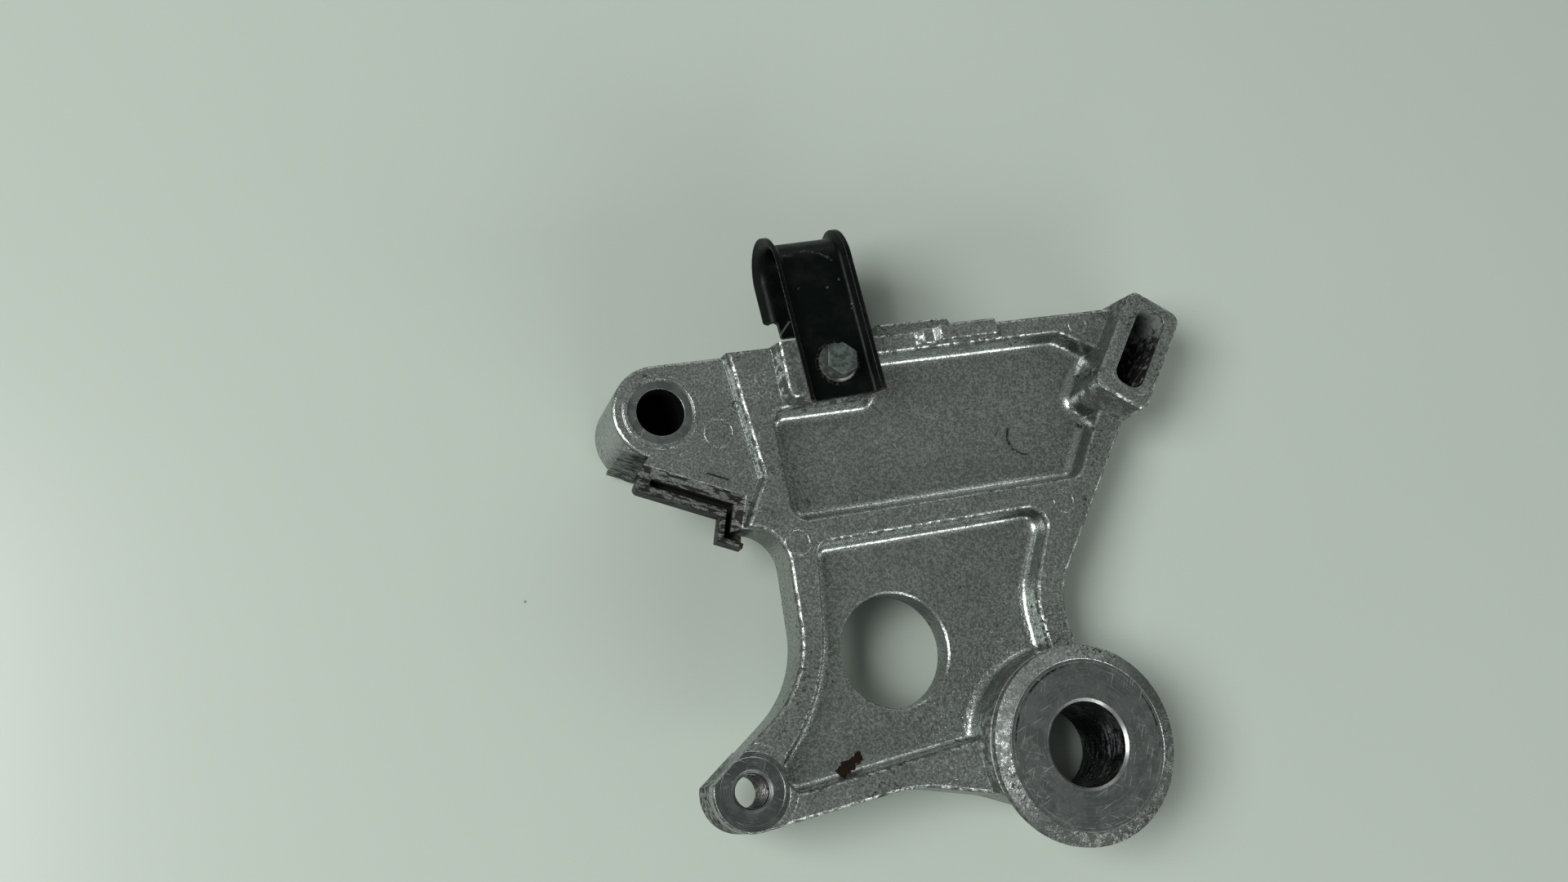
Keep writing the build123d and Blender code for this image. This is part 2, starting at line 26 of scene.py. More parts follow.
# Places on the casting, in millimetres, in the frame of the CAD model
AXLE = (0.0, 0.0)
AXLE_BORE = 11.0
AXLE_FACE = 22.2
AXLE_RING = 25.9
AXLE_TOP = 25.0
BACK_FACE = 17.3
RIM_TOP = 15.0
SLIDE = (-92.2, 106.4)
SLIDE_BORE = 6.5
SLIDE_SPOT = 8.8
SLIDE_TOP = 12.3
EAR = (-88.6, 6.6)
EAR_THREAD = 4.35
EAR_SEAT_RADIUS = 9.7
EAR_TOP = 15.6
EAR_BACK = 1.0
STOP = (47.0, 104.0)
STOP_ANGLE = 53.0
STOP_SLOT_LENGTH = 25.8
STOP_SLOT_WIDTH = 9.4
STOP_TOP = 25.0
STOP_FLOOR = 11.0
RAIL = (-77.1, 79.5)
RAIL_ANGLE = -25.5
RAIL_LENGTH = (-33.0, 6.5)
RAIL_WIDTH = (-14.0, 3.4)
PLATE_MARK = (-80.6, 87.1)
PLATE_MARK_ANGLE = -25.0
PLATE_MARK_LENGTH = (-3.0, 3.4)
PLATE_MARK_WIDTH = (-0.25, 0.25)
STAIN = (-60.6, 7.6)
STAIN_ANGLE = 18.0
STAIN_LENGTH = (-4.2, 4.1)
STAIN_WIDTH = (-1.5, 1.5)
STAIN_SLANT = 0.12
STAIN_RAGGED = 3.4
STAIN_SOFT = 0.15

# The hose clamp and its bolt
CLAMP = (-43.9, 111.3)
CLAMP_STRIP_LOW = 19.8
CLAMP_STRIP_TOP = 20.4
CLAMP_TWIST = 2.0
CLAMP_CORNERS = [(9.8, -8.9), (-9.6, -9.4)]
CLAMP_NICKS = [(-50.3, 133.4), (-38.2, 134.8), (-42.1, 132.8), (-36.1, 127.4), (-36.3, 126.1)]
BOLT_TOP = 25.7
FLANGE_TOP = 22.9
FLANGE_RADIUS = 5.4

# Lines drawn on the surfaces: the points of each and half its width
WEB_LINES = [
    ([(7.3, 89.3), (6.0, 86.2), (6.8, 83.4)], 0.42),
    ([(6.8, 83.4), (9.0, 81.6), (11.9, 80.6)], 0.26),
    ([(4.4, 89.6), (2.6, 87.4)], 0.14),
    ([(-34.1, 103.2), (-29.8, 98.4)], 0.12),
    ([(-30.8, 8.2), (-29.1, 6.6), (-27.4, 7.8)], 0.25),
]
RAIL_END_LINE = ([(-76.3, 80.8), (-74.6, 74.2)], 1.7)
RAIL_STEP_LINE = ([(-73.4, 81.5), (-73.0, 74.0)], 0.9)
CHIP_LINE = ([(29.5, 87.9), (29.9, 85.9)], 0.8)
STOP_WALL_LINE = ([(32.6, 102.0), (32.3, 97.8)], 0.9)
CLAMP_RUBS = [
    ([(-52.6, 143.2), (-50.0, 143.1)], 0.3),
    ([(-47.4, 144.0), (-45.7, 144.3), (-41.8, 142.8), (-39.7, 141.0)], 0.22),
    ([(-40.3, 141.9), (-38.9, 140.4)], 0.3),
]
# A painted highlight along the bend of the clamp's tip
CLAMP_CREASE_HIGHLIGHT = ([(-53.3, 125.0), (-49.0, 129.4)], 0.22)
STROKE_SOFT = 0.3

# Crescents that a washer left on the axle face: inner and outer radius, two angles, their softness
CRESCENTS = [
    (20.5, 21.1, 95.0, 135.0, 10.0),
    (20.5, 21.0, 148.0, 168.0, 4.0),
    (20.8, 21.3, -12.0, 30.0, 8.0),
]

# Start, end and softness in degrees of the darker part of the axle's ring and of the painted highlight on
# the flange
LOW_RING = (-150.0, 45.0, 20.0)
FLANGE_HIGHLIGHT_ARC = (-100.0, -45.0, 12.0)

# Scratches on the machined faces: direction in degrees, spacing, length, width and seed
SCRATCHES = [
    (63.0, 0.65, 2.6, 0.14, 3.0),
    (18.0, 0.65, 3.0, 0.13, 11.0),
    (-30.0, 0.7, 2.2, 0.13, 23.0),
]

# Colours of the casting
# Grime, also used as painted shade in the corners
GRIME_AND_SHADE = (0.018, 0.018, 0.016, 1.0)
LOW_RING_DARK = (0.115, 0.125, 0.115, 1.0)
BARE_DARK = (0.31, 0.352, 0.348, 1.0)
BARE_LIGHT = (0.42, 0.47, 0.45, 1.0)
LATHE_LINES = (0.43, 0.48, 0.465, 1.0)
SCRATCH = (0.95, 0.96, 0.95, 1.0)
CHAMFER = (0.45, 0.45, 0.44, 1.0)
SEAT_GROOVES = (0.05, 0.055, 0.07, 1.0)
# Painted shade inside the axle bore, then the colour of its machining streaks
BORE_SHADE = (0.012, 0.014, 0.015, 1.0)
BORE_STREAK = (0.15, 0.16, 0.165, 1.0)
GREASE = (0.006, 0.006, 0.006, 1.0)
# Painted shade in the thread's grooves and painted light on its crests
THREAD_GROOVE_SHADE = (0.02, 0.02, 0.02, 1.0)
THREAD_CREST_LIGHT = (0.16, 0.16, 0.16, 1.0)
POCKET_DARK = (0.012, 0.012, 0.012, 1.0)
# Painted glints in the stop boss's slot
POCKET_GLINTS = (0.19, 0.21, 0.20, 1.0)
MARK = (0.010, 0.010, 0.010, 1.0)
STAIN_BROWN = (0.022, 0.014, 0.006, 1.0)
STAIN_BLACK = (0.008, 0.007, 0.005, 1.0)

# Colours of the hose clamp and the bolt
PAINT_DARK = (0.0020, 0.0036, 0.0034, 1.0)
PAINT_DUSTY = (0.0055, 0.0070, 0.0062, 1.0)
# Lighter lip edges: paint wear and a painted sheen
PAINT_EDGE_WEAR_AND_SHEEN = (0.075, 0.078, 0.072, 1.0)
PAINT_RUBBED = (0.09, 0.095, 0.09, 1.0)
PAINT_SEAT = (0.07, 0.07, 0.065, 1.0)
# Painted highlight along the tip's bend
PAINT_CREASE_HIGHLIGHT = (0.11, 0.115, 0.105, 1.0)
RUST_DARK = (0.014, 0.008, 0.005, 1.0)
RUST_LIGHT = (0.036, 0.021, 0.012, 1.0)
PLATING_DARK = (0.07, 0.09, 0.084, 1.0)
PLATING_LIGHT = (0.17, 0.205, 0.19, 1.0)
PLATING_SPARK = (0.28, 0.29, 0.27, 1.0)
PLATING_EDGE = (0.33, 0.34, 0.33, 1.0)
FLANGE_DIRT = (0.022, 0.021, 0.019, 1.0)
FLANGE_EDGE = (0.16, 0.16, 0.15, 1.0)
# Painted highlight on the flange
FLANGE_HIGHLIGHT = (0.42, 0.44, 0.42, 1.0)

# Colours of the ear's thread and the table
RIDGE_DARK = (0.06, 0.062, 0.064, 1.0)
RIDGE_WORN = (0.27, 0.27, 0.26, 1.0)
TABLE_DARK = (0.505, 0.575, 0.520, 1.0)
TABLE_LIGHT = (0.545, 0.615, 0.555, 1.0)
TABLE_SPECK = (0.05, 0.05, 0.045, 1.0)

# Noises of the cast skin (scale per millimetre, detail, roughness) and their depths in millimetres
GRAIN = (1.7, 4.0, 0.62)
FINE_GRAIN = (5.2, 2.0, 0.6)
COARSE_GRAIN = (0.9, 3.0, 0.6)
COARSE_DISTORTION = 0.4
GRAIN_DEPTH = 0.11
FINE_DEPTH = 0.04
COARSE_DEPTH = (0.03, 0.30)
LATHE_DEPTH = 0.004
SLOPE_DEPTH = 0.4

# Metallic levels and roughness; a pair runs from where its mask is zero to where it is one
SKIN_METALLIC = 0.92
BARE_METALLIC = 0.98
SKIN_ROUGHNESS = (0.34, 0.25)
SLOPE_GLOSS = 0.04
BARE_ROUGHNESS = (0.32, 0.35)
SCRATCH_ROUGHNESS = 0.45
GRIME_ROUGHNESS = 0.6
GREASE_ROUGHNESS = 0.22
PAINT_ROUGHNESS = (0.36, 0.52)
PAINT_GLOSSY = 0.28
RUST_ROUGHNESS = 0.8
BOLT_METALLIC = 0.6
BOLT_ROUGHNESS = (0.48, 0.6)
RIDGE_METALLIC = 0.9
RIDGE_ROUGHNESS = (0.45, 0.28)
TABLE_ROUGHNESS = 0.27

# Specular level of each painted or plated surface
CASTING_SPECULAR = 0.1
CLAMP_SPECULAR = 0.11
BOLT_SPECULAR = 0.15
PLAIN_SPECULAR = 0.5

# Radius in millimetres that the shading rounds edges to, then the reach of the edge masks and of the painted
# shade in corners
CASTING_EDGE = 0.25
CLAMP_EDGE = 0.35
BOLT_EDGE = 0.25
RIDGE_EDGE = 0.05
TABLE_EDGE = 0.1
CLAMP_EDGE_MASK = 0.5
BOLT_WEAR = 0.35
CORNER_REACH = 4.0

# The ridge in the ear's bore
THREAD_PITCH = 1.25
WAVE_SCALE = 0.3183
THREAD_DEPTH = 0.34
THREAD_ROOT = 0.02
THREAD_STEPS = 40
THREAD_START = 1.1
THREAD_END = 1.0
THREAD_LIFT = 0.6
FLANK_HALF = 0.5
CREST_HALF = 0.07

# The table, and where the casting's three feet are, in metres
TABLE_HALF = 1.6
TABLE_CELLS = 16
TABLE_GAP = 0.00015
TABLE_SHIFT = (-0.02, 0.05, 0)
SLIDE_FOOT = (-0.07, 0.08)
AXLE_FOOT = 0.03
STOP_FOOT = (0.04, 0.09)

# Softboxes: direction from the object, distance and size in metres, radiance
SOFTBOXES = {
    "key_softbox": ((-0.75, 0.10, 0.65), 2.4, (1.3, 1.3), 9.3),
    "front_softbox": ((0.22, -0.88, 0.40), 2.2, (2.2, 0.62), 5.5),
    "side_softbox": ((0.92, -0.33, 0.28), 2.4, (0.6, 0.45), 5.0),
    "back_softbox": ((0.40, 0.84, 0.36), 2.4, (2.4, 0.8), 1.1),
}
SOFTBOX_COLOUR = (1.0, 1.0, 0.98)
LIT_POINT = (-0.02, 0.06, 0.0)
ROOM_COLOUR = (0.97, 1.0, 0.97, 1.0)
ROOM_LEVEL = 0.115

# The photograph's camera
CAMERA_PLACE = (-180.95, 16.64, 356.6)
CAMERA_TURN = (15.767, -16.403, -12.3)
CAMERA_LENS = 31.875
CAMERA_SENSOR = 36.0
CAMERA_NEAR = 0.01

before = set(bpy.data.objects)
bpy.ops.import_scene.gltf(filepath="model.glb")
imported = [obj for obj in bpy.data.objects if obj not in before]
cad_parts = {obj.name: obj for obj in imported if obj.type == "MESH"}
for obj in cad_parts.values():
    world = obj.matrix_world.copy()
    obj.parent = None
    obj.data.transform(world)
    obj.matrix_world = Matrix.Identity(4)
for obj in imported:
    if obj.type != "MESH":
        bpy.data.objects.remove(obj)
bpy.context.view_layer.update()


class Shader:
    """A material's node tree, with short names for the nodes that the finishes are made of."""

    def __init__(self, name):
        self.material = bpy.data.materials.new(name)
        self.material.use_nodes = True
        self.tree = self.material.node_tree
        self.tree.nodes.clear()
        self.surface = self.tree.nodes.new("ShaderNodeBsdfPrincipled")
        output = self.tree.nodes.new("ShaderNodeOutputMaterial")
        self.tree.links.new(self.surface.outputs[0], output.inputs["Surface"])
        coordinates = self.tree.nodes.new("ShaderNodeTexCoord")
        self.place = self.vector("SCALE", coordinates.outputs["Object"], scale=1 / MM)
        parts = self.node("ShaderNodeSeparateXYZ", {0: self.place})
        self.x, self.y, self.z = parts.outputs
        facing = self.node("ShaderNodeSeparateXYZ", {0: coordinates.outputs["Normal"]})
        self.facing_x, self.facing_y, self.facing_z = facing.outputs

    def plug(self, socket, value):
        """Links another node's output to an input, or sets the input to a number or a tuple."""
        if isinstance(value, bpy.types.NodeSocket):
            self.tree.links.new(value, socket)
        else:
            socket.default_value = value

    def node(self, kind, inputs=None, **settings):
        """A new node. Each input is a number, a tuple or another node's output."""
        made = self.tree.nodes.new(kind)
        for key, value in settings.items():
            setattr(made, key, value)
        for key, value in (inputs or {}).items():
            self.plug(made.inputs[key], value)
        return made

    def math(self, operation, a, b=0.0):
        """One sum on two numbers; the most used ones have names of their own."""
        return self.node("ShaderNodeMath", {0: a, 1: b}, operation=operation).outputs[0]

    def plus(self, a, b):
        return self.math("ADD", a, b)

    def less(self, a, b):
        return self.math("SUBTRACT", a, b)

    def times(self, a, b):
        return self.math("MULTIPLY", a, b)

    def inverse(self, mask):
        return self.less(1.0, mask)

    def at_least(self, mask, least):
        """A mask lifted so that it is nowhere under least."""
        return self.plus(least, self.times(mask, 1.0 - least))

    def vector(self, operation, a, b=(0, 0, 0), scale=1.0):
        made = self.node("ShaderNodeVectorMath", {0: a, 1: b, 3: scale}, operation=operation)
        return made.outputs["Value" if operation in ("LENGTH", "DOT_PRODUCT") else "Vector"]

    def join(self, x, y, z=0.0):
        return self.node("ShaderNodeCombineXYZ", {0: x, 1: y, 2: z}).outputs[0]

    def ramp(self, value, low, high, start=0.0, end=1.0):
        """A smooth step: start up to low, end from high on."""
        made = self.node(
            "ShaderNodeMapRange",
            {"Value": value, "From Min": low, "From Max": high, "To Min": start, "To Max": end},
            interpolation_type="SMOOTHSTEP",
        )
        return made.outputs["Result"]

    def below(self, value, low, high):
        """One up to low, zero from high on."""
        return self.ramp(value, low, high, 1.0, 0.0)

    def band(self, value, low, high, soft):
        """One between low and high, zero outside, with soft edges."""
        rising = self.ramp(value, low - soft, low + soft)
        return self.times(rising, self.below(value, high - soft, high + soft))

    def both(self, *masks):
        """The masks multiplied: one only where all of them are."""
        result = masks[0]
        for mask in masks[1:]:
            result = self.times(result, mask)
        return result

    def either(self, *masks):
        """The largest of the masks."""
        result = masks[0]
        for mask in masks[1:]:
            result = self.math("MAXIMUM", result, mask)
        return result

    def noise(self, scale, detail=3.0, roughness=0.55, place=None, distortion=0.0):
        inputs = {"Scale": scale, "Detail": detail, "Roughness": roughness, "Distortion": distortion}
        made = self.node("ShaderNodeTexNoise", {"Vector": place or self.place, **inputs})
        return made.outputs["Fac"]

    def patches(self, scale, low, high, detail=3.0, roughness=0.7):
        """Ragged patches: zero where a noise is under low, one where it is over high."""
        return self.ramp(self.noise(scale, detail, roughness), low, high)

    def cells(self, scale, place=None):
        """Distance from the nearest of many scattered points."""
        made = self.node("ShaderNodeTexVoronoi", {"Vector": place or self.place, "Scale": scale})
        return made.outputs["Distance"]

    def waves(self, along, scale, distortion=0.0):
        """Regular bands along a coordinate."""
        inputs = {"Vector": self.join(along, 0.0), "Scale": scale, "Distortion": distortion}
        made = self.node("ShaderNodeTexWave", inputs, wave_type="BANDS", bands_direction="X")
        return made.outputs["Fac"]

    def mix(self, factor, a, b):
        """Colour a where factor is 0, b where it is 1."""
        inputs = {"Factor": factor, 6: a, 7: b}
        made = self.node("ShaderNodeMix", inputs, data_type="RGBA", clamp_factor=True)
        return made.outputs[2]

    def blend(self, factor, a, b):
        """Number a where factor is 0, b where it is 1."""
        inputs = {"Factor": factor, 2: a, 3: b}
        made = self.node("ShaderNodeMix", inputs, data_type="FLOAT", clamp_factor=True)
        return made.outputs[0]

    def distance(self, x, y, centre):
        """Distance from a centre in the plane."""
        return self.vector("LENGTH", self.join(self.less(x, centre[0]), self.less(y, centre[1])))

    def radius(self, centre):
        """Distance from an upright axis."""
        return self.distance(self.x, self.y, centre)

    def turned(self, centre, angle):
        """Coordinates along and across a direction through centre, in the plane."""
        across_x = self.less(self.x, centre[0])
        across_y = self.less(self.y, centre[1])
        c, s = math.cos(math.radians(angle)), math.sin(math.radians(angle))
        along = self.plus(self.times(across_x, c), self.times(across_y, s))
        across = self.less(self.times(across_y, c), self.times(across_x, s))
        return along, across

    def angle(self, centre):
        """Angle round an upright axis, in degrees from +X."""
        across_x = self.less(self.x, centre[0])
        across_y = self.less(self.y, centre[1])
        return self.times(self.math("ARCTAN2", across_y, across_x), 180 / math.pi)

    def scratches(self, angle, spacing, length, width, seed):
        """Short straight scratches in one direction, in clusters, all in millimetres."""
        along, across = self.turned((seed, -seed), angle)
        place = self.join(self.times(along, width / length), across, seed)
        spindle = self.below(self.cells(1 / spacing, place), 0.3 * width / spacing, width / spacing)
        cluster = self.ramp(self.noise(0.12, 2.0, 0.6, self.join(self.x, self.y, seed)), 0.46, 0.52)
        return self.times(spindle, cluster)

    def stroke(self, points, width):
        """A thin line through points in the plane, in millimetres."""
        pieces = []
        for (x0, y0), (x1, y1) in zip(points, points[1:]):
            along, across = self.turned((x0, y0), math.degrees(math.atan2(y1 - y0, x1 - x0)))
            inside = self.band(along, 0.0, math.hypot(x1 - x0, y1 - y0), STROKE_SOFT)
            pieces.append(self.both(inside, self.band(across, -width, width, width)))
        return self.either(*pieces)

    def strokes(self, lines):
        """Several lines, each given as its points and half its width."""
        return self.either(*[self.stroke(*line) for line in lines])

    def shade_in_corners(self, distance):
        """Painted shade: one deep in a corner, zero in the open, from ambient occlusion."""
        occlusion = self.node("ShaderNodeAmbientOcclusion", {"Distance": distance * MM}, samples=8)
        return self.below(occlusion.outputs["AO"], 0.25, 0.85)

    def rounded(self, radius):
        """The surface's normal with its edges rounded to a radius."""
        return self.node("ShaderNodeBevel", {"Radius": radius * MM}, samples=6).outputs[0]

    def sharp_edges(self, radius):
        """One on sharp outer and inner edges."""
        bevel = self.rounded(radius)
        geometry = self.node("ShaderNodeNewGeometry")
        likeness = self.vector("DOT_PRODUCT", bevel, geometry.outputs["Normal"])
        return self.below(likeness, 0.86, 0.985)

    def bump(self, layers, edge_radius):
        """Rounded edges with layers of (height, depth in mm) on top."""
        edge = self.rounded(edge_radius)
        height = 0.0
        for layer, depth in layers:
            inputs = {0: layer, 1: depth, 2: height}
            height = self.node("ShaderNodeMath", inputs, operation="MULTIPLY_ADD").outputs[0]
        inputs = {"Height": height, "Strength": 1.0, "Distance": MM, "Normal": edge}
        return self.node("ShaderNodeBump", inputs).outputs[0]

    def finish(self, colour, metallic, roughness, normal, specular=PLAIN_SPECULAR):
        """Plugs everything into the surface and gives back the material."""
        inputs = {
            "Base Color": colour,
            "Metallic": metallic,
            "Roughness": roughness,
            "Normal": normal,
            "Specular IOR Level": specular,
        }
        for name, value in inputs.items():
            self.plug(self.surface.inputs[name], value)
        return self.material


def grey(level):
    """A near grey, a little green as everything in the photograph is."""
    return (level * 0.94, level * 1.03, level * 0.985, 1.0)


def machined_areas(s):
    """Where the casting was faced, bored and chamfered."""
    area = SimpleNamespace()
    area.axle = s.radius(AXLE)
    slide = s.radius(SLIDE)
    area.ear = s.radius(EAR)
    area.axle_face = s.both(
        s.below(area.axle, AXLE_FACE - 0.25, AXLE_FACE + 0.05),
        s.ramp(s.z, AXLE_TOP - 0.15, AXLE_TOP - 0.05),
    )
    back_face = s.both(s.below(area.axle, BACK_FACE - 0.1, BACK_FACE + 0.1), s.below(s.z, 0.05, 0.15))
    area.chamfer = s.both(
        s.band(area.axle, AXLE_BORE - 0.1, AXLE_BORE + 0.9, 0.1),
        s.ramp(s.z, AXLE_TOP - 1.2, AXLE_TOP - 0.9),
    )
    area.axle_bore = s.below(area.axle, AXLE_BORE + 0.02, AXLE_BORE + 0.1)
    slide_spot = s.both(
        s.below(slide, SLIDE_SPOT - 0.1, SLIDE_SPOT + 0.05),
        s.ramp(s.z, SLIDE_TOP - 1.0, SLIDE_TOP - 0.9),
    )
    area.slide_bore = s.both(
        s.below(slide, SLIDE_BORE + 0.02, SLIDE_BORE + 0.12),
        s.below(s.z, SLIDE_TOP - 0.7, SLIDE_TOP - 0.5),
    )
    area.ear_seat = s.both(
        s.below(area.ear, EAR_SEAT_RADIUS - 0.1, EAR_SEAT_RADIUS + 0.05),
        s.ramp(s.z, EAR_TOP - 2.0, EAR_TOP - 1.6),
    )
    area.ear_bore = s.below(area.ear, EAR_THREAD + 0.1, EAR_THREAD + 0.3)
    area.machined = s.either(area.axle_face, area.chamfer, slide_spot, area.ear_seat, back_face)
    area.bored = s.either(area.axle_bore, area.slide_bore, area.ear_bore)
    return area


def cast_grain(s, area):
    """Grain of the cast skin, rougher round the axle boss and on its ring."""
    skin = SimpleNamespace()
    near_axle = s.both(s.below(area.axle, 34.0, 60.0), s.ramp(area.axle, 25.0, 27.0))
    skin.ring = s.both(
        s.band(area.axle, AXLE_FACE, AXLE_RING + 0.3, 0.2),
        s.ramp(s.z, AXLE_TOP - 10.0, AXLE_TOP - 3.0),
    )
    skin.rough_part = s.either(near_axle, skin.ring)
    skin.grain = s.noise(*GRAIN)
    skin.fine = s.noise(*FINE_GRAIN)
    skin.coarse = s.noise(*COARSE_GRAIN, distortion=COARSE_DISTORTION)
    skin.sparkle = s.math("POWER", s.ramp(skin.fine, 0.58, 0.78), 1.5)
    skin.pits = s.both(s.below(s.cells(1.1), 0.10, 0.17), s.ramp(s.noise(0.35), 0.5, 0.62))
    return skin


def casting_grime_and_shade(s, area):
    """Grime on the rail, on the sides of the bosses and in specks all over, with painted shade in the
    corners.
    """
    rail_along, rail_across = s.turned(RAIL, RAIL_ANGLE)
    rail = s.both(
        s.band(rail_along, *RAIL_LENGTH, 0.8),
        s.band(rail_across, *RAIL_WIDTH, 0.5),
        s.below(s.z, SLIDE_TOP - 0.2, SLIDE_TOP - 0.05),
        s.below(s.x, -68.5, -67.0),
    )
    slide_side = s.both(
        s.ramp(s.x, -88.0, -92.0),
        s.below(s.y, 96.0, 102.0),
        s.below(s.z, 11.0, 12.0),
    )
    smear_place = s.join(s.times(rail_along, 0.28), rail_across, s.z)
    smears = s.ramp(s.noise(0.85, 4.0, 0.65, smear_place), 0.47, 0.54)
    # Painted shade in corners and recesses, from ambient occlusion
    corners = s.shade_in_corners(CORNER_REACH)

    # Specks gather on the rims, the steep walls and the outer edges
    on_rim = s.either(s.ramp(s.z, 11.9, 12.2), s.ramp(s.facing_z, 0.3, 0.6, 0.6, 0.0))
    on_edge = s.both(s.ramp(s.z, RIM_TOP - 0.4, RIM_TOP), s.below(s.facing_z, 0.90, 0.98))
    gathering = s.plus(on_rim, s.times(on_edge, 0.5))
    specks = s.ramp(s.plus(s.noise(0.95, 4.0, 0.72), s.times(gathering, 0.045)), 0.60, 0.63)
    dirty_regions = s.ramp(s.noise(0.05, 2.0), 0.38, 0.6, 0.25, 0.95)

    # Smears and specks are grime; the terms that use corners are painted shade
    grime_and_shade = s.either(
        s.both(rail, s.at_least(smears, 0.76)),
        s.both(on_edge, s.ramp(s.noise(0.45, 3.0, 0.7), 0.46, 0.54, 0.1, 0.75)),
        s.both(slide_side, s.at_least(smears, 0.2)),
        s.both(rail, s.ramp(corners, 0.25, 0.6)),
        s.both(s.stroke(*RAIL_END_LINE), s.at_least(smears, 0.55)),
        s.both(s.stroke(*RAIL_STEP_LINE), smears),
        s.times(specks, dirty_regions),
        s.times(corners, s.ramp(s.noise(0.3, 3.0), 0.35, 0.75, 0.1, 0.6)),
    )
    return s.both(grime_and_shade, s.inverse(s.times(area.machined, 0.78)))


def casting_marks(s, area, turn, scuffed):
    """Dark crescents on the axle face, and the marks on the webs and the plate."""
    crescents = [
        s.both(s.band(area.axle, inner, outer, 0.2), s.band(turn, start, end, soft))
        for inner, outer, start, end, soft in CRESCENTS
    ]
    crescents = s.both(s.either(*crescents), scuffed, area.axle_face)
    under_rim = s.below(s.z, RIM_TOP - 1.0, RIM_TOP - 0.6)
    web_mark = s.both(s.strokes(WEB_LINES), s.patches(1.1, 0.38, 0.46), under_rim)
    along, across = s.turned(PLATE_MARK, PLATE_MARK_ANGLE)
    flat = s.ramp(s.facing_z, 0.75, 0.97)
    plate_mark = s.both(s.band(along, *PLATE_MARK_LENGTH, 0.4), s.band(across, *PLATE_MARK_WIDTH, 0.2), flat)
    upward = s.ramp(s.facing_z, -0.2, 0.2)
    chip = s.both(s.stroke(*CHIP_LINE), s.patches(1.3, 0.46, 0.52), upward)
    wall_mark = s.both(s.stroke(*STOP_WALL_LINE), s.patches(0.9, 0.49, 0.53))
    return s.either(crescents, web_mark, plate_mark, chip, wall_mark)


def jagged_stain(s):
    """The brown-black stain with a ragged edge at the lower rib."""
    along, across = s.turned(STAIN, STAIN_ANGLE)
    ragged = s.times(s.less(s.noise(0.6, 4.0, 0.7), 0.5), STAIN_RAGGED)
    slanted = s.less(across, s.times(along, STAIN_SLANT))
    return s.both(
        s.band(s.plus(along, ragged), *STAIN_LENGTH, STAIN_SOFT),
        s.band(s.plus(slanted, ragged), *STAIN_WIDTH, STAIN_SOFT),
        s.ramp(s.z, 9.0, 10.0),
    )


def skin_colour(s, skin, turn):
    """Silver paint over the grain, with painted shade on the slopes and on walls facing -Y, and darker on
    the lower half of the axle's ring.
    """
    colour = s.mix(s.ramp(skin.grain, 0.40, 0.62), grey(0.31), grey(0.79))
    colour = s.mix(s.times(skin.sparkle, 0.5), colour, grey(0.92))
    colour = s.mix(s.times(skin.pits, 0.7), colour, grey(0.12))
    colour = s.mix(s.times(skin.ring, s.patches(1.6, 0.42, 0.58)), colour, grey(0.5))
    tone = s.ramp(s.noise(0.09, 3.0, 0.5), 0.3, 0.7, 0.9, 1.1)
    colour = s.mix(s.less(1.1, tone), colour, grey(0.32))

    # Painted shade: steep walls darker, less so where they don't face -X; walls facing -Y under the rim
    # darker still
    far_wall = s.both(s.ramp(s.facing_x, -0.5, -0.1), s.below(s.facing_z, 0.15, 0.35))
    slope_shade = s.both(s.ramp(s.facing_z, 0.3, 0.75, 0.8, 0.0), s.inverse(s.times(far_wall, 0.65)))
    colour = s.mix(slope_shade, colour, grey(0.13))
    top_wall_shade = s.both(
        s.ramp(s.facing_y, -0.4, -0.7),
        s.below(s.z, RIM_TOP - 0.3, RIM_TOP + 0.2),
        s.below(s.facing_z, 0.6, 0.8),
    )
    colour = s.mix(s.times(top_wall_shade, 0.6), colour, grey(0.05))
    low_ring = s.both(skin.ring, s.band(turn, *LOW_RING))
    return s.mix(s.times(low_ring, 0.8), colour, LOW_RING_DARK)


def bare_colour(s, area, scratches, lathe, scuffed):
    """Bare metal with lathe lines, scratches and a bright line at the rim of the axle face."""
    colour = s.mix(s.patches(0.30, 0.40, 0.60, 2.0, 0.5), BARE_DARK, BARE_LIGHT)
    colour = s.mix(s.times(s.ramp(lathe, 0.48, 0.6), area.axle_face), colour, LATHE_LINES)
    rim_line = s.both(area.axle_face, s.band(area.axle, 21.1, 21.3, 0.12), scuffed)
    colour = s.mix(s.either(s.times(scratches, 0.65), s.times(rim_line, 0.7)), colour, SCRATCH)
    colour = s.mix(s.times(area.chamfer, 0.7), colour, CHAMFER)
    ear_lathe = s.waves(area.ear, 0.75, 0.3)
    grooves = s.times(area.ear_seat, s.ramp(ear_lathe, 0.3, 0.9, 0.0, 0.6))
    return s.mix(grooves, colour, SEAT_GROOVES)


